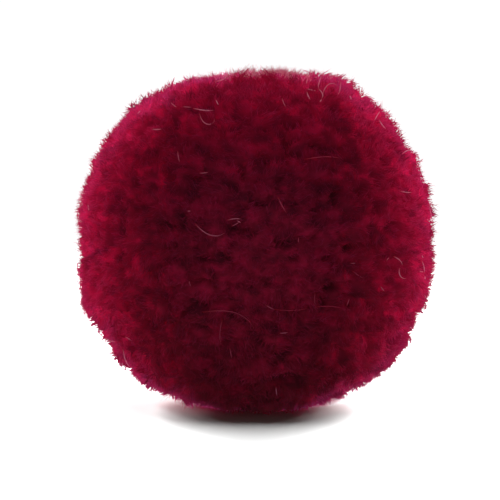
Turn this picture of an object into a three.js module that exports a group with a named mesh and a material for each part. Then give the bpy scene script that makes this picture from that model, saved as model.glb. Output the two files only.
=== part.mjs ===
// Plush pom-pom: locks of crimson yarn bound at a tied middle, fanned out and trimmed to a ball.
// Millimetres, +Z up, front towards -Y. The origin is the middle of the flat spot on which the ball rests.
import * as THREE from "three";
import { mergeVertices } from "three/addons/utils/BufferGeometryUtils.js";

// Driving dimensions
const HALF_DEPTH = 14.6; // from the ball's middle to its front and its back
const MIDDLE_HEIGHT = 13.9; // the ball's middle above the surface on which it rests
const ROUNDNESS = 2.15; // power of the front-to-back section: 2 is an ellipse, more is squarer
const LOCKS_ACROSS = 7; // locks along each side of each of the six patches that make up the ball
const LAYOUT_TURN = THREE.MathUtils.degToRad(24); // how far the patches are turned about the upright axis
const TRIM_SPREAD = 0.4; // how much longer or shorter than its neighbours a lock was trimmed
const RIPPLES = 6; // how quickly the sideways push on the locks changes from place to place
const WANDER = 0.035; // how far a lock's room strays from the even layout, for a ball of radius 1
const WANDER_START = 0.14; // where the ripples of that straying start, in radians
const STRAY = 0.05; // how far each corner of a lock's room strays by itself, for a ball of radius 1
const STRAY_SEEDS = new THREE.Vector3(1301, 5009, 20011); // spread the corners' directions over many seeds
const LEAN = 0.03; // how far a lock leans over from its root to its tip, for a ball of radius 1
const LEAN_START = 3.28; // where the ripples of that leaning start, in radians

// The ball's outline from the front: its reach from the middle, at angles counted from +X towards +Z.
// The ball would reach below the surface at 270 degrees, so the locks there are shorter and end level on it.
const OUTLINE = [
  { degrees: 0, reach: 14.9 },
  { degrees: 24, reach: 15.1 },
  { degrees: 41, reach: 15.25 },
  { degrees: 60, reach: 15.5 },
  { degrees: 73, reach: 14.7 },
  { degrees: 90, reach: 14.35 },
  { degrees: 102, reach: 14.25 },
  { degrees: 118, reach: 14.8 },
  { degrees: 133, reach: 15.15 },
  { degrees: 147, reach: 15.15 },
  { degrees: 164, reach: 15.0 },
  { degrees: 184, reach: 14.75 },
  { degrees: 200, reach: 15.35 },
  { degrees: 214, reach: 14.9 },
  { degrees: 232, reach: 15.15 },
  { degrees: 250, reach: 14.85 },
  { degrees: 270, reach: 14.7 },
  { degrees: 290, reach: 14.8 },
  { degrees: 303, reach: 14.9 },
  { degrees: 316, reach: 15.4 },
  { degrees: 333, reach: 15.05 },
  { degrees: 350, reach: 15.0 },
];

// A lock from the tied middle outwards. out is the share of the ball's reach at which a section lies.
// fill is the share of the lock's room that the section takes up, so neighbours meet only where it is 1.
const LOCK_SECTIONS = [
  { name: "ground", out: 0.56, fill: 1.0 },
  { name: "root", out: 0.56, fill: 0.76 },
  { name: "shoulder", out: 0.9, fill: 0.82 },
  { name: "tip", out: 1.0, fill: 0.34 },
];

// The six patches of the ball, each by the directions of its middle, its columns and its rows
const PATCHES = [
  { middle: [1, 0, 0], columns: [0, 1, 0], rows: [0, 0, 1] },
  { middle: [-1, 0, 0], columns: [0, -1, 0], rows: [0, 0, 1] },
  { middle: [0, 1, 0], columns: [-1, 0, 0], rows: [0, 0, 1] },
  { middle: [0, -1, 0], columns: [1, 0, 0], rows: [0, 0, 1] },
  { middle: [0, 0, 1], columns: [1, 0, 0], rows: [0, 1, 0] },
  { middle: [0, 0, -1], columns: [-1, 0, 0], rows: [0, 1, 0] },
].map(({ middle, columns, rows }) => ({
  middle: new THREE.Vector3(...middle),
  columns: new THREE.Vector3(...columns),
  rows: new THREE.Vector3(...rows),
}));

const UPRIGHT = new THREE.Vector3(0, 0, 1);
const FULL_TURN = 360;

// The outline's reach at an angle in degrees, eased from one row of the table to the next.
function outlineReach(degrees) {
  const next = OUTLINE.findIndex((row) => row.degrees > degrees);
  const before = OUTLINE.at(next === -1 ? -1 : next - 1);
  const after = OUTLINE.at(next === -1 ? 0 : next);
  const span = THREE.MathUtils.euclideanModulo(after.degrees - before.degrees, FULL_TURN);
  const share = THREE.MathUtils.smoothstep(degrees - before.degrees, 0, span);
  return THREE.MathUtils.lerp(before.reach, after.reach, share);
}

// How far the ball reaches from its middle in a direction, with the surface it rests on left out of account.
function ballReach(direction) {
  const sideways = Math.hypot(direction.x, direction.z);
  const degrees = THREE.MathUtils.radToDeg(Math.atan2(direction.z, direction.x));
  const reach = outlineReach(THREE.MathUtils.euclideanModulo(degrees, FULL_TURN));
  const inOutline = (sideways / reach) ** ROUNDNESS;
  const inDepth = (Math.abs(direction.y) / HALF_DEPTH) ** ROUNDNESS;
  return (inOutline + inDepth) ** (-1 / ROUNDNESS);
}

// A soft sideways push that differs from place to place on the ball. Locks that meet are pushed alike.
function sidewaysPush(direction, size, start) {
  const ripple = (along, across) => Math.sin(RIPPLES * (along - across / 2) + start);
  return new THREE.Vector3(
    ripple(direction.y, direction.z),
    ripple(direction.z, direction.x),
    ripple(direction.x, direction.y),
  ).multiplyScalar(size);
}

// A corner's own small stray, drawn from its direction so that all the locks that meet there agree.
function ownStray(direction) {
  const draw = (seed) => (THREE.MathUtils.seededRandom(seed) - 0.5) * 2 * STRAY;
  return new THREE.Vector3(draw(Math.round(direction.dot(STRAY_SEEDS))), draw(), draw());
}

// The direction of a corner of the layout, from its column and row on a patch, both from 0 to LOCKS_ACROSS.
function cornerDirection(patch, column, row) {
  const slope = (step) => Math.tan((step / LOCKS_ACROSS - 0.5) * (Math.PI / 2));
  const direction = patch.middle
    .clone()
    .addScaledVector(patch.columns, slope(column))
    .addScaledVector(patch.rows, slope(row))
    .normalize();
  const push = sidewaysPush(direction, WANDER, WANDER_START).add(ownStray(direction));
  return direction.add(push).applyAxisAngle(UPRIGHT, LAYOUT_TURN).normalize();
}

// A point of a lock: the ball's middle, then out along a direction, no lower than the surface below.
function lockPoint(direction, out, trim) {
  const toSurface = direction.z < 0 ? MIDDLE_HEIGHT / -direction.z : Infinity;
  const distance = Math.min(out * (ballReach(direction) + trim), toSurface);
  return UPRIGHT.clone().multiplyScalar(MIDDLE_HEIGHT).addScaledVector(direction, distance);
}

// The four corners of one section of a lock, whose room has the given corner directions.
function lockSection(corners, section, trim) {
  const middle = corners.reduce((sum, corner) => sum.add(corner), new THREE.Vector3()).normalize();
  const ground = LOCK_SECTIONS[0].out;
  const grown = (section.out - ground) / (1 - ground);
  return corners.map((corner) => {
    const direction = middle.clone().lerp(corner, section.fill).normalize();
    direction.add(sidewaysPush(direction, LEAN * grown, LEAN_START)).normalize();
    return lockPoint(direction, section.out, section.fill < 1 ? trim : 0);
  });
}

// The triangles of one lock, from its ground to its tip, as points in turn.
function lockTriangles(corners, trim) {
  const sections = LOCK_SECTIONS.map((section) => lockSection(corners, section, trim));
  const quad = (a, b, c, d) => [a, b, c, a, c, d];
  const sides = sections.slice(1).flatMap((upper, step) =>
    upper.flatMap((point, k) => {
      const lower = sections[step];
      const other = (k + 1) % upper.length;
      return quad(lower[k], lower[other], upper[other], point);
    }),
  );
  return [...sides, ...quad(...sections.at(-1))];
}

// The ball: every lock on the shared ground of the tied middle, as one closed surface.
function pompomGeometry() {
  const points = [];
  let seed = 1;
  for (const patch of PATCHES) {
    for (let row = 0; row < LOCKS_ACROSS; row += 1) {
      for (let column = 0; column < LOCKS_ACROSS; column += 1) {
        const corners = [
          cornerDirection(patch, column, row),
          cornerDirection(patch, column + 1, row),
          cornerDirection(patch, column + 1, row + 1),
          cornerDirection(patch, column, row + 1),
        ];
        const trim = (THREE.MathUtils.seededRandom(seed) - 0.5) * TRIM_SPREAD;
        points.push(...lockTriangles(corners, trim));
        seed += 1;
      }
    }
  }
  return mergeVertices(new THREE.BufferGeometry().setFromPoints(points));
}

const yarn = new THREE.MeshStandardMaterial({ color: 0x7a0a24, roughness: 0.95, metalness: 0 });
const pompom = new THREE.Mesh(pompomGeometry(), yarn);
pompom.name = "pompom";

export default new THREE.Group().add(pompom);
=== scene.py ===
# Looks of a plush pom-pom: a ball of bloomed yarn ends with a dense felted pile and pale stray hairs.
# Lengths are in metres unless a comment says otherwise. +Z is up, and the front faces -Y.
import math

import bmesh
import bpy
import numpy as np
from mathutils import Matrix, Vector, noise
from mathutils.kdtree import KDTree


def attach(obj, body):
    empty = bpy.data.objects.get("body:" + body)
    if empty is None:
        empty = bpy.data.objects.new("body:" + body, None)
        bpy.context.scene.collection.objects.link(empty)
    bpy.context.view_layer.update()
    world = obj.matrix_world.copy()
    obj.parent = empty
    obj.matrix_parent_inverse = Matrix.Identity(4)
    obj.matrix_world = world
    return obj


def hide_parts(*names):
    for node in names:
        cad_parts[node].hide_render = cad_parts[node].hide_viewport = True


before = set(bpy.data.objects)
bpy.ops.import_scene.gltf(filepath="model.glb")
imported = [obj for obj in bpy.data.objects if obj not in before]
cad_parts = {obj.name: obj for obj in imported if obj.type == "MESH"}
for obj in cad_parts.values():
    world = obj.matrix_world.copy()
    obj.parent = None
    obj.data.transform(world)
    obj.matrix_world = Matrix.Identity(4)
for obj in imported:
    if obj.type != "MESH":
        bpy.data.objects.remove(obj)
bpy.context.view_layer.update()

MM = 0.001
SEED = 7
GOLDEN_ANGLE = math.pi * (3 - math.sqrt(5))

# The ball
MIDDLE = np.array((0.0, 0.0, 13.9 * MM))
BALL_RADIUS = 15.0 * MM
FLOOR_GAP = 0.02 * MM  # the least height above the floor
REACH_FOCUS = 200.0  # how near to a direction the solid's points must lie to set the reach along it
REACH_SHARPNESS = 50  # how much more the solid's outer points count there than its inner ones
PILE_SINK = 0.10 * MM  # how far below the ends of the solid's locks the pile lies

# The camera
FRAME_PIXELS = 500
BALL_PIXELS = 355
BALL_WIDTH = 30.0 * MM
FRAME_WIDTH = FRAME_PIXELS * BALL_WIDTH / BALL_PIXELS
PIXEL = FRAME_WIDTH / FRAME_PIXELS
BALL_MIDDLE_PIXEL = (254.5, 241.0)
SENSOR_WIDTH = 36  # in millimetres, as the lens is
CAMERA_DISTANCE = 400 * MM
CAMERA_ELEVATION = math.radians(7)
CAMERA_RIGHT = np.array((1.0, 0.0, 0.0))
CAMERA_UP = np.array((0.0, math.sin(CAMERA_ELEVATION), math.cos(CAMERA_ELEVATION)))
CAMERA_BACK = np.array((0.0, -math.cos(CAMERA_ELEVATION), math.sin(CAMERA_ELEVATION)))

# The tufts: the bloomed ends of the cut yarn
TUFTS = 2000
TUFT_STRAY = 0.35 * MM
TUFT_UNEVEN = 0.10 * MM
TUFT_LUMPS = 0.55 * MM
TUFT_LEAN = 0.20 * MM
TUFT_RADIUS = 0.66 * MM
TUFT_DOME = 0.14 * MM  # how much lower a tuft is at its radius than in its middle
DOME_EDGE = 1.4  # where its dome stops falling, in radii
FACING_SHARE = 0.25  # how much of the dome's slope shows in the shading
TUFT_TONE = 0.5
TUFT_TONE_SPREAD = 0.08
TUFT_TONE_PATCHES = 0.30

# Swells and dips of the outline as the camera sees it: the angle from the right, half the width in degrees,
# and the height in millimetres. They fade away towards the camera and behind.
SWELLS = (
    (50, 4, 0.30),
    (73, 6, -0.35),
    (87, 5, -0.15),
    (96, 6, -0.30),
    (132, 5, 0.15),
    (148, 6, 0.20),
    (160, 3, 0.20),
    (200, 5, 0.50),
    (221, 2.5, 0.80),
    (226, 2, -0.30),
    (232, 4, 0.40),
    (0, 4, 0.25),
    (317, 8, 0.55),
    (342, 10, 0.45),
)
SWELL_DEPTH = 0.4

# Pits between the tufts, painted shade that darkens the tone in them, the felt's unevenness, and the mottling
# of its tone
PIT_START = 0.20
PIT_SOFT = 0.42
PIT_DEPTH = 0.9 * MM
# How much darker the tone is in the pits, as painted shade
PIT_SHADE_TONE = 0.24
FINE_PITS = 0.4
FELT_HEIGHT = 0.16 * MM
MOTTLE = 0.5
FINE_MOTTLE = 0.3
STREAKS = 0.3

# The soft noise over the ball: how fine it is, where it starts, and how it is stretched along X, Y and Z
LUMP_NOISE = {"scale": 9, "shift": 5.3}
PATCH_NOISE = {"scale": 6, "shift": 3.1}
PIT_NOISE = {"scale": 13.0, "shift": 8.4}
FINE_PIT_NOISE = {"scale": 28.6, "shift": 4.1}
MOTTLE_NOISE = {"scale": 13, "shift": 6.7}
FINE_MOTTLE_NOISE = {"scale": 27, "shift": 1.9}
STREAK_NOISE = {"scale": 22, "shift": 7.7}
FELT_NOISE = {"scale": 32.0, "shift": 2.2}
PIT_STRETCH = (0.85, 0.85, 1.2)
STREAK_STRETCH = (0.45, 0.45, 1.5)

# The felted ground below the fibres, and how far it is from the yarn's root colour to its tip colour,
# which is less in the pits as painted shade
GROUND_SUBDIVISIONS = 7
GROUND_DEPTH = 0.25 * MM
GROUND_ALONG = 0.72
PIT_SHADE_ALONG = 0.4

# The kinds of strand, in millimetres: how many there are, how far below the pile's level the root lies and
# how far above it the tip, the width, how far the tip strays sideways, how much paler than its tuft a strand
# is, and from which to which share of the way between its material's root and tip colours it runs
STRAND_COLUMNS = ("count", "root", "rise", "width", "lean", "paler", "alongs")
STRAND_LENGTHS = ("root", "rise", "width", "lean")
STRANDS = {
    "pile": (162000, 0.45, -0.02, 0.09, 0.17, 0.0, (0.6, 0.8)),
    "bundles": (7000, 0.30, 0.08, 0.20, 0.12, 0.0, (0.6, 0.85)),
    "flyaways": (26000, 0.12, 0.085, 0.08, 0.14, 0.06, (0.8, 0.95)),
    "fuzz": (18000, 0.10, 0.15, 0.05, 0.20, 0.06, (0.85, 1.0)),
    # The haze is made pale as a painted highlight on the crown
    "haze": (1500, 0.05, 0.20, 0.035, 0.30, 0.5, (0.4, 0.7)),
}
STRAND_SIDES = 3

# The pile's fibres: how they stray, how uneven their tips are, and how their widths and tones vary
PILE_STRAY = 0.01
PILE_UNEVEN = 0.10 * MM
PILE_WIDTHS = (0.7, 1.3)
PILE_TONE_SPREAD = 0.03

# The sides of the ball that the pile is split into, each by its axis and the way it faces along it
ZONES = {
    "pile_right": (0, 1),
    "pile_left": (0, -1),
    "pile_back": (1, 1),
    "pile_front": (1, -1),
    "pile_top": (2, 1),
    "pile_under": (2, -1),
}

# Strands that stick out of the pile: how they stray, their mean and their greatest rise as multiples of the
# rise in the table above, and how they take on the tuft's tone
FLYAWAY_STRAY = 0.03
RISE_SHAPE = 2.0
RISE_LIMIT = 4
FLYAWAY_TONE = 0.25
FLYAWAY_TONE_SHARE = 0.5

# The thin pale haze on the crown, whose paleness is a painted highlight where the crown catches the light:
# the direction of its middle, and how far it spreads
HAZE_MIDDLE = (0.08, 0.11, 0.99)
HAZE_SPREAD = (0.15, 0.10, 0.0)

# Pale stray hairs on the front: where each starts, in millimetres right of and above the ball's middle as the
# camera sees it, its heading in degrees from the right, its length in millimetres, how many degrees it turns
# by its end, and how pale it looks
HAIR_COLUMNS = ("right", "up", "heading", "length", "turn", "pale")
FRONT_HAIRS = (
    (-6.1, 11.3, -4, 0.8, 0, 0.35),
    (-5.3, 11.2, -12, 1.9, 20, 0.8),
    (-4.7, 10.9, -75, 2.3, 175, 0.5),
    (-3.2, 11.6, -62, 0.5, 0, 1.0),
    (-5.7, 2.5, 0, 0.3, 0, 0.5),
    (-1.5, 1.7, -30, 0.4, 0, 0.7),
    (4.4, 13.6, -95, 0.4, 0, 0.9),
    (5.7, 14.0, -115, 1.3, 30, 0.9),
    (4.4, 13.0, -14, 0.9, 0, 0.8),
    (5.3, 12.8, -40, 1.1, -100, 0.8),
    (4.4, 12.6, -75, 0.8, 25, 0.8),
    (5.6, 11.9, 60, 0.3, 0, 0.9),
    (5.7, 12.2, 75, 2.0, -130, 0.6),
    (7.3, 13.6, -92, 1.4, -35, 0.6),
    (7.9, 12.1, -66, 0.4, 0, 0.9),
    (11.7, -1.3, -25, 1.2, -60, 0.7),
    (12.3, -2.2, -100, 1.4, 125, 0.8),
    (14.1, -1.2, -60, 0.3, 0, 0.7),
    (14.3, -1.6, -68, 1.2, -30, 0.8),
    (13.9, -2.6, 0, 0.4, 0, 0.7),
    (11.1, -1.7, 50, 0.4, 0, 0.4),
    (-3.4, 13.6, 10, 1.4, 60, 0.8),
    (-7.1, 11.7, -45, 0.7, 20, 0.5),
    (-9.9, 10.7, 45, 0.4, 20, 0.8),
    (-8.7, 9.4, -5, 0.9, 20, 0.7),
    (-6.5, 7.6, -85, 1.0, 15, 0.4),
    (-4.7, 5.7, 0, 0.8, 20, 0.4),
    (-5.2, 1.6, -47, 3.2, 85, 0.6),
    (-2.4, 1.7, 15, 1.4, -35, 0.6),
    (-2.0, 1.2, 20, 0.9, 40, 0.4),
    (1.9, 3.8, -65, 1.7, 10, 0.2),
    (5.1, -4.3, -95, 1.2, 20, 0.12),
    (8.2, -2.5, -38, 1.3, 15, 0.15),
    (7.7, -5.5, 70, 0.7, 0, 0.25),
    (4.9, -5.6, 4, 2.6, -20, 0.06),
    (1.5, -5.8, -6, 3.0, 22, 0.06),
    (-5.5, -3.3, -80, 0.6, 30, 0.25),
    (3.7, 0.3, -90, 0.5, 0, 0.2),
    (-14.0, 2.5, 90, 0.6, 30, 0.7),
    (2.3, 12.1, -71, 0.9, 15, 0.4),
    (10.7, 11.1, -124, 1.1, 10, 1.0),
    (10.7, 10.5, -59, 1.1, 20, 0.9),
    (12.3, 7.2, 45, 1.3, -130, 1.0),
    (12.2, 4.2, -11, 1.1, 15, 0.7),
    (4.0, 6.8, 10, 3.4, -25, 0.15),
    (-11.2, -9.0, -84, 2.0, 45, 0.9),
    (-10.9, -10.7, -120, 0.5, 10, 0.9),
    (-12.3, -8.4, -5, 0.6, -20, 0.7),
    (-11.4, -8.4, -27, 0.8, -20, 0.6),
    (-4.8, -6.1, 8, 5.6, -78, 0.15),
    (-2.7, -6.5, -103, 2.4, 30, 0.15),
    (-2.1, -9.0, -80, 1.0, 0, 0.2),
    (10.6, -3.8, -53, 0.6, 0, 0.5),
    (8.0, -1.9, 0, 0.5, 10, 0.4),
    (2.0, -7.7, 0, 0.8, 15, 0.4),
    (0.9, -5.4, -34, 0.9, 20, 0.3),
    (1.8, -12.3, -86, 0.8, 10, 0.7),
)
HAIR_WIDTH = 0.09 * MM
HAIR_TAPER = (3, 0.2)  # shares of that width at the root and at the tip, held to 1 at most
HAIR_CATCH = 1.2  # how far up the hairs' shading is tilted, so that they catch the light
HAIR_RISE = 0.06 * MM
HAIR_LIFT = 0.2 * MM  # how much further out the palest hairs lie
HAIR_SECTIONS = 14
HAIR_SIDES = 4
HAIR_ROUNDS = 2  # how often the hairs are laid anew over the pile

# More hairs of the same kind, from the edge of the front round to the back and not too low
MORE_HAIRS = 110
MORE_HAIRS_STRAY = 0.08
MORE_HAIRS_EDGE = 0.25
MORE_HAIRS_LOWEST = -0.75
MORE_HAIRS_LENGTH = {"shape": 3.0, "scale": 0.45}
MORE_HAIRS_TURN = 70
MORE_HAIRS_PALE = (0.1, 1.0)

# The map on which the colours are baked, by tone and by share of the way from root to tip
BAKE_MAP = "OFBake"
UV_HALF_WIDTH = 0.004
UV_EDGE = 0.02

# The surface of the strands
OWN_SHADING = 0.05  # how much each strand's own roundness shows
ROUGHNESS = 0.8
SPECULAR = 0.3
SHEEN = 0.29
SHEEN_ROUGHNESS = 0.27
SHEEN_TINT = (1.0, 0.08, 0.35, 1)

# The yarn's colours from root to tip, darker towards the root as painted shade deep in the pile and
# brighter and pinker at the tip as a painted glow of light through the fibre ends, and how the tone of a
# strand changes them
YARN_SHADE_AND_TIP_GLOW = (
    (0.0, (0.12, 0.0013, 0.0095)),
    (0.3, (0.42, 0.0040, 0.029)),
    (0.6, (0.60, 0.0038, 0.040)),
    (0.85, (0.68, 0.0054, 0.056)),
    (1.0, (0.90, 0.0500, 0.180)),
)
YARN_TONES = (
    (0.0, (0.36, 0.42, 0.46)),
    (0.5, (0.80, 0.80, 0.80)),
    (1.0, (1.38, 1.40, 1.52)),
)

# The colours of the hairs and of the haze from the darkest to the palest, and how both fade from root to tip;
# the haze's pale colours are a painted highlight on the crown
HAIR_TONES = ((0.0, (0.60, 0.014, 0.055)), (1.0, (0.98, 0.26, 0.38)))
HAZE_HIGHLIGHT_TONES = ((0.0, (0.60, 0.10, 0.14)), (1.0, (0.88, 0.24, 0.30)))
HAIR_FADE = (
    (0.0, (0.7, 0.1, 0.15)),
    (0.3, (1.0, 1.0, 1.0)),
    (0.7, (1.0, 1.0, 1.0)),
    (1.0, (0.8, 0.3, 0.35)),
)

# The floor: half its width, its colour, and how far from the ball it fades into the surround's white
FLOOR_HALF = 3.0
FLOOR_COLOUR = (0.9, 0.9, 0.9, 1)
FADE_START = 30 * MM
FADE_END = 120 * MM
GLOW = 1.05

# Each light's place, in degrees round the ball from the front by way of the left and in degrees above the
# ball's middle, its width and height in millimetres, its power in watts, its colour, what it lights, and
# whether it casts shadows there
LIGHT_COLUMNS = ("name", "around", "above", "width", "height", "power", "colour", "onto", "shadow")
LIGHT_DISTANCE = 420 * MM
WHITE = (1.0, 1.0, 1.0)
COOL = (0.57, 0.68, 0.98)
ROSY = (1.0, 1.12, 1.22)
LIGHTS = (
    ("left", 136, -4, 300, 80, 2.04, ROSY, "ball", False),
    ("right", -136, -3, 300, 80, 1.80, ROSY, "ball", False),
    ("top", 180, 48, 300, 300, 1.00, WHITE, "ball", False),
    ("front", 0, 10, 600, 600, 0.485, COOL, "ball", True),
    ("floor_top", 180, 89, 410, 410, 2.8, WHITE, "floor", True),
    ("floor_left", 145, 17, 30, 200, 5.9, WHITE, "floor", True),
    ("floor_right", -145, 17, 30, 200, 7.9, WHITE, "floor", True),
)

# The surround's dim light, from straight below at 0 to straight above at 1
SURROUND_STOPS = (
    (0.00, (0.010, 0.080, 0.035)),
    (0.20, (0.045, 0.145, 0.058)),
    (0.35, (0.130, 0.190, 0.100)),
    (0.48, (0.095, 0.118, 0.080)),
    (0.65, (0.026, 0.040, 0.034)),
    (1.00, (0.026, 0.040, 0.034)),
)


def unit(vectors):
    """The same vectors with a length of 1."""
    return vectors / np.linalg.norm(vectors, axis=-1, keepdims=True)


def sideways(vectors, directions):
    """The part of each vector that lies across its direction."""
    return vectors - np.sum(vectors * directions, axis=1, keepdims=True) * directions


def spread_directions(count, stray, rng):
    """Directions spread evenly over a ball in a spiral, each strayed a little."""
    step = np.arange(count) + 0.5
    up = 1 - 2 * step / count
    around = step * GOLDEN_ANGLE
    level = np.sqrt(1 - up**2)
    spiral = np.stack((level * np.cos(around), level * np.sin(around), up), axis=1)
    return unit(spiral + rng.normal(0, stray, spiral.shape))


def reach_along(directions):
    """How far the pile reaches from the ball's middle along each direction, from the solid's outer points."""
    points = np.array([v.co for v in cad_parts["pompom"].data.vertices]) - MIDDLE
    reach = np.linalg.norm(points, axis=1)
    nearness = np.exp((directions @ unit(points).T - 1) * REACH_FOCUS)
    weight = nearness * (reach / reach.max()) ** REACH_SHARPNESS
    return weight @ reach / weight.sum(axis=1) - PILE_SINK


def smooth_noise(directions, scale, shift):
    """Soft noise from about -1 to 1 over the ball, one value for each direction."""
    return np.array([noise.noise(Vector(d) * scale + Vector((shift, shift, shift))) for d in directions])


def outline_swells(directions):
    """How far the outline's swells and dips raise the pile along each direction."""
    angle = np.degrees(np.arctan2(directions @ CAMERA_UP, directions @ CAMERA_RIGHT))
    fade = np.exp(-((directions @ CAMERA_BACK / SWELL_DEPTH) ** 2))
    raised = np.zeros(len(directions))
    for middle, half_width, height in SWELLS:
        off = (angle - middle + 180) % 360 - 180
        raised += height * MM * np.exp(-((off / half_width) ** 2))
    return raised * fade


def lay_tufts(rng):
    """Where each tuft stands, how far it reaches, how it leans, and its tone."""
    axes = spread_directions(TUFTS, TUFT_STRAY / BALL_RADIUS, rng)
    raised = rng.normal(0, TUFT_UNEVEN, TUFTS) + TUFT_LUMPS * smooth_noise(axes, **LUMP_NOISE)
    tree = KDTree(TUFTS)
    for index, axis in enumerate(axes):
        tree.insert(axis, index)
    tree.balance()
    lean = rng.normal(0, TUFT_LEAN, (TUFTS, 3))
    tone = rng.normal(TUFT_TONE, TUFT_TONE_SPREAD, TUFTS)
    return {
        "axis": axes,
        "tree": tree,
        "reach": reach_along(axes) + raised + outline_swells(axes),
        "lean": lean,
        "tone": tone + TUFT_TONE_PATCHES * smooth_noise(axes, **PATCH_NOISE),
    }


def pit_share(flatter):
    """How much of the full depth of a pit the pile has along each flattened direction, from 0 to 1."""
    hollow = smooth_noise(flatter, **PIT_NOISE) + FINE_PITS * smooth_noise(flatter, **FINE_PIT_NOISE)
    return np.clip((hollow - PIT_START) / PIT_SOFT, 0, 1)


def mottling(directions, flatter):
    """How much paler or darker the pile is along each direction, in spots and in level streaks."""
    spots = MOTTLE * smooth_noise(flatter, **MOTTLE_NOISE)
    spots += FINE_MOTTLE * smooth_noise(flatter, **FINE_MOTTLE_NOISE)
    return spots + STREAKS * smooth_noise(directions * STREAK_STRETCH, **STREAK_NOISE)


def pile_surface(tufts, directions):
    """The pile along each direction: its tuft, its level, the way it faces, its pits and its tone, darker in
    the pits as painted shade.
    """
    tuft = np.array([tufts["tree"].find(direction)[1] for direction in directions])
    aside = directions - tufts["axis"][tuft]
    away = np.linalg.norm(aside, axis=1) * BALL_RADIUS / TUFT_RADIUS
    flatter = directions * PIT_STRETCH
    pit = pit_share(flatter)
    felt = FELT_HEIGHT * smooth_noise(directions, **FELT_NOISE)
    slope = FACING_SHARE * 2 * TUFT_DOME * BALL_RADIUS / TUFT_RADIUS**2
    reach = tufts["reach"][tuft]
    # The tone is darker in the pits: painted shade
    tone = tufts["tone"][tuft] + mottling(directions, flatter) - PIT_SHADE_TONE * pit
    return {
        "tuft": tuft,
        "reach": reach,
        "crest": reach - PIT_DEPTH * pit + felt,
        "level": reach - TUFT_DOME * np.minimum(away, DOME_EDGE)**2 - PIT_DEPTH * pit + felt,
        "facing": unit(directions + slope * aside),
        "pit": pit,
        "tone": np.clip(tone, 0, 1),
    }


def strand_form(kind):
    """The values of one kind of strand by name, with its lengths in metres."""
    form = dict(zip(STRAND_COLUMNS, STRANDS[kind]))
    return form | {name: form[name] * MM for name in STRAND_LENGTHS}


def strand_faces(sections, sides):
    """The triangles of one closed strand: its root, its sides and its tip, as indices of its points."""
    faces = [(0, k + 1, k) for k in range(1, sides - 1)]
    for ring in range(sections - 2):
        low, high = sides * ring, sides * (ring + 1)
        for k in range(sides):
            other = (k + 1) % sides
            faces += [(low + k, low + other, high + other), (low + k, high + other, high + k)]
    last = sides * (sections - 2)
    faces += [(last + k, last + (k + 1) % sides, last + sides) for k in range(sides)]
    return np.array(faces)


def ring_angles(sides):
    """The angles of a strand's edges around its centre line."""
    return np.arange(sides) * 2 * math.pi / sides


def strand_points(lines, widths, sides, rng):
    """The points around each strand's centre line and at its tip, and the way each of them faces."""
    count = len(lines)
    along = unit(np.gradient(lines, axis=1))
    guides = unit(rng.normal(0, 1, (count, 1, 3)))
    side = unit(guides - np.sum(guides * along, axis=2, keepdims=True) * along)
    other = np.cross(along, side)
    angles = ring_angles(sides)
    ring = side[:, :-1, None] * np.cos(angles)[:, None] + other[:, :-1, None] * np.sin(angles)[:, None]
    rings = lines[:, :-1, None] + ring * (widths[:, :-1, None, None] / 2)
    points = np.concatenate((rings.reshape(count, -1, 3), lines[:, -1:]), axis=1)
    points[..., 2] = np.maximum(points[..., 2], FLOOR_GAP)
    return points, np.concatenate((ring.reshape(count, -1, 3), along[:, -1:]), axis=1)


def bake_spots(tones, point_alongs, sides):
    """The place of each strand's points on the bake map."""
    angles = ring_angles(sides)
    rings = len(point_alongs) // sides
    corner = np.append(np.tile(np.cos(angles), rings), 0.0)
    nudge = np.append(np.tile(np.sin(angles), rings), 0.0)
    across = UV_EDGE + tones[:, None] * (1 - 2 * UV_EDGE) + corner * UV_HALF_WIDTH
    upward = UV_EDGE + point_alongs * (1 - 2 * UV_EDGE) + nudge * UV_HALF_WIDTH
    return np.stack((across, np.broadcast_to(upward, across.shape)), axis=2).reshape(-1, 2)


def triangle_mesh(name, points, faces):
    """A mesh of smooth triangles from arrays of points and point indices."""
    mesh = bpy.data.meshes.new(name)
    mesh.vertices.add(len(points))
    mesh.vertices.foreach_set("co", points.astype(np.float32).ravel())
    mesh.loops.add(faces.size)
    mesh.loops.foreach_set("vertex_index", faces.astype(np.int32).ravel())
    mesh.polygons.add(len(faces))
    mesh.polygons.foreach_set("loop_start", np.arange(0, faces.size, 3, dtype=np.int32))
    mesh.polygons.foreach_set("use_smooth", np.ones(len(faces), dtype=bool))
    mesh.update()
    return mesh


def write_values(mesh, values):
    """Named values for each point of a mesh."""
    for name, numbers in values.items():
        mesh.attributes.new(name, "FLOAT", "POINT").data.foreach_set("value", numbers.astype(np.float32))


def place(name, data):
    """A new object of the scene, with the given mesh, camera or light."""
    item = bpy.data.objects.new(name, data)
    bpy.context.scene.collection.objects.link(item)
    return item


def strands_mesh(name, lines, widths, tones, alongs, facing, rng, sides=STRAND_SIDES):
    """One joined mesh of closed strands that end in a point.
    lines holds each strand's centre line, widths its width at each section, alongs the share of the way
    from root to tip at each section, and facing the way the pile faces there."""
    count, sections, _ = lines.shape
    points, own = strand_points(lines, widths, sides, rng)
    per_strand = points.shape[1]
    starts = (np.arange(count) * per_strand)[:, None, None]
    faces = (strand_faces(sections, sides)[None] + starts).reshape(-1, 3)
    mesh = triangle_mesh(name, points.reshape(-1, 3), faces)
    point_alongs = np.append(np.repeat(alongs[:-1], sides), alongs[-1])
    write_values(mesh, {"along": np.tile(point_alongs, count), "tone": np.repeat(tones, per_strand)})
    spots = bake_spots(tones, point_alongs, sides)
    layer = mesh.uv_layers.new(name=BAKE_MAP)
    layer.uv.foreach_set("vector", spots[faces.ravel()].astype(np.float32).ravel())
    soft = unit(facing[:, None] + OWN_SHADING * own)
    mesh.normals_split_custom_set_from_vertices(soft.reshape(-1, 3))
    return place(name, mesh)


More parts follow.
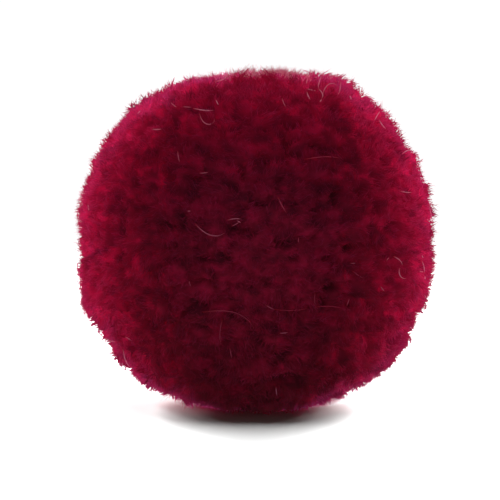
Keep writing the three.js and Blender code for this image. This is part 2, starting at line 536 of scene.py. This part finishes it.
def fibre_lines(directions, level, rises, form, tuft_lean, rng):
    """The line of each fibre, from its root below the pile's level to its tip above it."""
    lean = sideways(tuft_lean + rng.normal(0, form["lean"], directions.shape), directions)
    roots = MIDDLE + directions * (level - form["root"])[:, None]
    tips = MIDDLE + directions * (level + rises)[:, None] + lean
    return np.stack((roots, tips), axis=1)


def build_pile(tufts, rng):
    """The fine fibres as six joined meshes, one for each side of the ball."""
    form = strand_form("pile")
    count = form["count"]
    directions = spread_directions(count, PILE_STRAY, rng)
    surface = pile_surface(tufts, directions)
    rises = rng.normal(form["rise"], PILE_UNEVEN, count)
    lines = fibre_lines(directions, surface["level"], rises, form, tufts["lean"][surface["tuft"]], rng)
    widths = np.stack((rng.uniform(*PILE_WIDTHS, count) * form["width"], np.zeros(count)), axis=1)
    tones = np.clip(surface["tone"] + rng.normal(0, PILE_TONE_SPREAD, count), 0, 1)
    main = np.argmax(np.abs(directions), axis=1)
    sign = np.sign(np.take_along_axis(directions, main[:, None], axis=1)[:, 0])
    pieces = []
    for name, (axis, way) in ZONES.items():
        chosen = (main == axis) & (sign == way)
        pieces.append(strands_mesh(
            name, lines[chosen], widths[chosen], tones[chosen], form["alongs"],
            surface["facing"][chosen], rng))
    return pieces


def even_spots(kind, rng):
    """The directions in which strands of one kind stand, all over the ball."""
    return spread_directions(strand_form(kind)["count"], FLYAWAY_STRAY, rng)


def haze_spots(rng):
    """The directions in which the haze's strands stand, scattered about its middle."""
    count = strand_form("haze")["count"]
    return unit(np.array(HAZE_MIDDLE) + rng.normal(0, 1, (count, 3)) * HAZE_SPREAD)


def build_flyaways(kind, directions, tufts, rng):
    """Strands of one kind that stick out of the pile along the given directions."""
    form = strand_form(kind)
    count = len(directions)
    surface = pile_surface(tufts, directions)
    rises = np.minimum(rng.gamma(RISE_SHAPE, form["rise"], count), RISE_LIMIT * form["rise"])
    lines = fibre_lines(directions, surface["crest"], rises, form, tufts["lean"][surface["tuft"]], rng)
    keep = lines[:, :, 2].min(axis=1) > FLOOR_GAP
    widths = np.tile((form["width"], 0.0), (count, 1))
    tones = np.clip(FLYAWAY_TONE + FLYAWAY_TONE_SHARE * surface["tone"] + form["paler"], 0, 1)
    return strands_mesh(
        kind, lines[keep], widths[keep], tones[keep], form["alongs"], surface["facing"][keep], rng)


def hair_paths(hairs, axes, radius):
    """The way of each hair over a ball of the given radius, as directions from its middle.
    A hair curls more towards its end, and what is nearer to the camera looks larger, so it is drawn in."""
    steps = np.linspace(0, 1, HAIR_SECTIONS)
    angle = np.radians(hairs["heading"][:, None] + hairs["turn"][:, None] * steps**2)
    pace = hairs["length"][:, None] * MM / HAIR_SECTIONS
    right = hairs["right"][:, None] * MM + np.cumsum(np.cos(angle) * pace, axis=1)
    up = hairs["up"][:, None] * MM + np.cumsum(np.sin(angle) * pace, axis=1)
    nearer = np.sqrt(np.maximum(radius**2 - right**2 - up**2, 0.0))
    right, up = (spot * (1 - nearer / CAMERA_DISTANCE) for spot in (right, up))
    out = np.sqrt(np.maximum(radius**2 - right**2 - up**2, 0.0))
    return unit(sum(spot[..., None] * axis[:, None] for spot, axis in zip((right, up, out), axes)))


def front_hairs():
    """The hairs on the front, and the axes along which their places are given."""
    hairs = dict(zip(HAIR_COLUMNS, np.array(FRONT_HAIRS, dtype=float).T))
    axes = [np.tile(axis, (len(FRONT_HAIRS), 1)) for axis in (CAMERA_RIGHT, CAMERA_UP, CAMERA_BACK)]
    return hairs, axes


def more_hairs(rng):
    """Hairs of the same kind on the sides, the back and the top, and their axes."""
    spots = spread_directions(MORE_HAIRS, MORE_HAIRS_STRAY, rng)
    spots = spots[(spots @ CAMERA_BACK < MORE_HAIRS_EDGE) & (spots[:, 2] > MORE_HAIRS_LOWEST)]
    count = len(spots)
    across = unit(np.cross(spots, unit(rng.normal(0, 1, (count, 3)))))
    hairs = {name: np.zeros(count) for name in ("right", "up", "heading")}
    hairs["length"] = rng.gamma(**MORE_HAIRS_LENGTH, size=count)
    hairs["turn"] = rng.normal(0, MORE_HAIRS_TURN, count)
    hairs["pale"] = rng.uniform(*MORE_HAIRS_PALE, count)
    return hairs, [across, np.cross(spots, across), spots]


def build_hairs(tufts, rng):
    """Pale hairs caught on the pile, laid over a round ball first and then over the pile's own reach."""
    sets = front_hairs(), more_hairs(rng)
    hairs = {name: np.concatenate([each[name] for each, _ in sets]) for name in HAIR_COLUMNS}
    axes = [np.concatenate(pair) for pair in zip(*(each for _, each in sets))]
    reach = BALL_RADIUS
    for _ in range(HAIR_ROUNDS):
        paths = hair_paths(hairs, axes, reach)
        reach = pile_surface(tufts, paths.reshape(-1, 3))["reach"].reshape(paths.shape[:2])
        reach = reach.mean(axis=1, keepdims=True) + HAIR_RISE + HAIR_LIFT * hairs["pale"][:, None]
    lines = MIDDLE + paths * reach[..., None]
    widths = np.tile(HAIR_WIDTH * np.minimum(1, np.linspace(*HAIR_TAPER, HAIR_SECTIONS)), (len(lines), 1))
    return strands_mesh(
        "stray_hairs", lines, widths, hairs["pale"], np.linspace(0, 1, HAIR_SECTIONS),
        unit(paths.mean(axis=1) + (0, 0, HAIR_CATCH)), rng, sides=HAIR_SIDES)


def build_ground(tufts):
    """The felted mass of yarn from which the fibres stand, domed at each tuft and pitted in between."""
    mesh = bpy.data.meshes.new("ground")
    piece = place("ground", mesh)
    sphere = bmesh.new()
    bmesh.ops.create_icosphere(sphere, subdivisions=GROUND_SUBDIVISIONS, radius=1)
    sphere.to_mesh(mesh)
    sphere.free()
    directions = unit(np.array([v.co for v in mesh.vertices]))
    surface = pile_surface(tufts, directions)
    points = MIDDLE + directions * (surface["level"] - GROUND_DEPTH)[:, None]
    points[:, 2] = np.maximum(points[:, 2], FLOOR_GAP)
    mesh.vertices.foreach_set("co", points.astype(np.float32).ravel())
    mesh.polygons.foreach_set("use_smooth", np.ones(len(mesh.polygons), dtype=bool))
    # The ground is darker in the pits: painted shade
    write_values(mesh, {"along": GROUND_ALONG - PIT_SHADE_ALONG * surface["pit"], "tone": surface["tone"]})
    mesh.update()
    mesh.normals_split_custom_set_from_vertices(surface["facing"])
    return piece


def new_material(name):
    """A material with an empty node tree and its output."""
    material = bpy.data.materials.new(name)
    material.use_nodes = True
    nodes = material.node_tree.nodes
    nodes.clear()
    return material, nodes, material.node_tree.links, nodes.new("ShaderNodeOutputMaterial")


def attribute(nodes, name):
    """The value of a mesh attribute."""
    node = nodes.new("ShaderNodeAttribute")
    node.attribute_name = name
    return node.outputs["Fac"]


def ramp(nodes, links, value, stops):
    """A colour ramp over a value."""
    node = nodes.new("ShaderNodeValToRGB")
    links.new(value, node.inputs["Fac"])
    elements = node.color_ramp.elements
    while len(elements) < len(stops):
        elements.new(0.5)
    for element, (position, colour) in zip(elements, stops):
        element.position = position
        element.color = (*colour, 1)
    return node.outputs["Color"]


def multiply(nodes, links, first, second):
    """The product of two colours."""
    mix = nodes.new("ShaderNodeMix")
    mix.data_type = "RGBA"
    mix.blend_type = "MULTIPLY"
    mix.inputs["Factor"].default_value = 1
    links.new(first, mix.inputs["A"])
    links.new(second, mix.inputs["B"])
    return mix.outputs["Result"]


def strand_material(name, depths, tones, sheen):
    """A rough surface with the given sheen, coloured from root to tip and by each strand's tone."""
    material, nodes, links, output = new_material(name)
    # For the yarn this ramp holds painted shade towards the root and a painted glow at the tip
    depth = ramp(nodes, links, attribute(nodes, "along"), depths)
    tone = ramp(nodes, links, attribute(nodes, "tone"), tones)
    skin = nodes.new("ShaderNodeBsdfPrincipled")
    skin.inputs["Roughness"].default_value = ROUGHNESS
    skin.inputs["Specular IOR Level"].default_value = SPECULAR
    skin.inputs["Sheen Weight"].default_value = sheen
    skin.inputs["Sheen Roughness"].default_value = SHEEN_ROUGHNESS
    skin.inputs["Sheen Tint"].default_value = SHEEN_TINT
    links.new(multiply(nodes, links, depth, tone), skin.inputs["Base Color"])
    links.new(skin.outputs["BSDF"], output.inputs["Surface"])
    return material


def floor_material():
    """White near the ball, and bright enough further off to blend into the surround."""
    material, nodes, links, output = new_material("white_floor")
    spot = nodes.new("ShaderNodeTexCoord")
    far = nodes.new("ShaderNodeVectorMath")
    far.operation = "LENGTH"
    links.new(spot.outputs["Object"], far.inputs[0])
    fade = nodes.new("ShaderNodeMapRange")
    fade.interpolation_type = "SMOOTHSTEP"
    fade.inputs["From Min"].default_value = FADE_START
    fade.inputs["From Max"].default_value = FADE_END
    links.new(far.outputs["Value"], fade.inputs["Value"])
    near = nodes.new("ShaderNodeBsdfDiffuse")
    near.inputs["Color"].default_value = FLOOR_COLOUR
    glow = nodes.new("ShaderNodeEmission")
    glow.inputs["Strength"].default_value = GLOW
    mix = nodes.new("ShaderNodeMixShader")
    links.new(fade.outputs["Result"], mix.inputs["Fac"])
    links.new(near.outputs["BSDF"], mix.inputs[1])
    links.new(glow.outputs["Emission"], mix.inputs[2])
    links.new(mix.outputs["Shader"], output.inputs["Surface"])
    return material


def build_floor():
    """A plain white floor, which lights nothing but itself."""
    mesh = bpy.data.meshes.new("floor")
    corners = [(x * FLOOR_HALF, y * FLOOR_HALF, 0) for x, y in ((-1, -1), (1, -1), (1, 1), (-1, 1))]
    mesh.from_pydata(corners, [], [(0, 1, 2, 3)])
    floor = place("floor", mesh)
    floor.data.materials.append(floor_material())
    floor.visible_diffuse = False
    floor.visible_glossy = False
    floor.visible_shadow = False
    return floor


def build_camera():
    """The camera at the photograph's angle, with the ball where the photograph has it."""
    data = bpy.data.cameras.new("camera")
    data.sensor_width = SENSOR_WIDTH
    data.lens = data.sensor_width * CAMERA_DISTANCE / FRAME_WIDTH
    camera = place("camera", data)
    right, down = (FRAME_PIXELS / 2 - pixel for pixel in BALL_MIDDLE_PIXEL)
    aim = Vector(MIDDLE + (CAMERA_RIGHT * right - CAMERA_UP * down) * PIXEL)
    camera.location = aim + Vector(CAMERA_BACK) * CAMERA_DISTANCE
    camera.rotation_euler = Vector(-CAMERA_BACK).to_track_quat("-Z", "Y").to_euler()
    bpy.context.scene.camera = camera


def build_lights(receivers):
    """Soft lights on the ball from its sides, from behind and from the front, and others on the floor alone.
    A light that casts no shadows isn't mirrored either."""
    for values in LIGHTS:
        row = dict(zip(LIGHT_COLUMNS, values))
        data = bpy.data.lights.new(row["name"], "AREA")
        data.shape = "RECTANGLE"
        data.size = row["width"] * MM
        data.size_y = row["height"] * MM
        data.energy = row["power"]
        data.color = row["colour"]
        data.use_shadow = row["shadow"]
        light = place(row["name"], data)
        turn, rise = math.radians(row["around"]), math.radians(row["above"])
        away = Vector((-math.sin(turn) * math.cos(rise), -math.cos(turn) * math.cos(rise), math.sin(rise)))
        light.location = Vector(MIDDLE) + away * LIGHT_DISTANCE
        light.rotation_euler = (-away).to_track_quat("-Z", "Y").to_euler()
        light.visible_camera = False
        light.visible_glossy = row["shadow"]
        light.light_linking.receiver_collection = receivers[row["onto"]]


def build_surround():
    """A surround that looks white to the camera and gives the ball a dim light."""
    world = bpy.data.worlds.new("surround")
    bpy.context.scene.world = world
    world.use_nodes = True
    nodes, links = world.node_tree.nodes, world.node_tree.links
    dim = nodes["Background"]
    spot = nodes.new("ShaderNodeTexCoord")
    split = nodes.new("ShaderNodeSeparateXYZ")
    links.new(spot.outputs["Generated"], split.inputs["Vector"])
    rise = nodes.new("ShaderNodeMapRange")
    rise.inputs["From Min"].default_value = -1
    links.new(split.outputs["Z"], rise.inputs["Value"])
    links.new(ramp(nodes, links, rise.outputs["Result"], SURROUND_STOPS), dim.inputs["Color"])
    bright = nodes.new("ShaderNodeBackground")
    bright.inputs["Color"].default_value = (*WHITE, 1)
    bright.inputs["Strength"].default_value = GLOW
    path = nodes.new("ShaderNodeLightPath")
    mix = nodes.new("ShaderNodeMixShader")
    links.new(path.outputs["Is Camera Ray"], mix.inputs["Fac"])
    links.new(dim.outputs["Background"], mix.inputs[1])
    links.new(bright.outputs["Background"], mix.inputs[2])
    links.new(mix.outputs["Shader"], nodes["World Output"].inputs["Surface"])


def build_ball(tufts, rng):
    """The pieces of the ball, each with its material. The ground takes the solid's place."""
    ground = build_ground(tufts)
    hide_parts("pompom")
    all_over = even_spots("flyaways", rng)
    on_crown = haze_spots(rng)
    bundles = build_flyaways("bundles", even_spots("bundles", rng), tufts, rng)
    flyaways = build_flyaways("flyaways", all_over, tufts, rng)
    fuzz = build_flyaways("fuzz", even_spots("fuzz", rng), tufts, rng)
    haze = build_flyaways("haze", on_crown, tufts, rng)
    hairs = build_hairs(tufts, rng)
    pile = build_pile(tufts, rng)
    looks = dict.fromkeys(
        (ground, *pile, bundles, flyaways, fuzz),
        strand_material("plush_yarn", YARN_SHADE_AND_TIP_GLOW, YARN_TONES, SHEEN))
    looks[hairs] = strand_material("pale_hair", HAIR_FADE, HAIR_TONES, SHEEN)
    # The haze's pale colour is a painted highlight on the crown
    looks[haze] = strand_material("crown_painted_highlight", HAIR_FADE, HAZE_HIGHLIGHT_TONES, 0.0)
    return looks


# The stage
receivers = {name: bpy.data.collections.new(name) for name in ("ball", "floor")}
build_camera()
build_lights(receivers)
build_surround()
receivers["floor"].objects.link(build_floor())

# The ball
rng = np.random.default_rng(SEED)
for piece, material in build_ball(lay_tufts(rng), rng).items():
    piece.data.materials.append(material)
    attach(piece, "root")
    receivers["ball"].objects.link(piece)

# The picture
bpy.context.scene.view_settings.view_transform = "Standard"
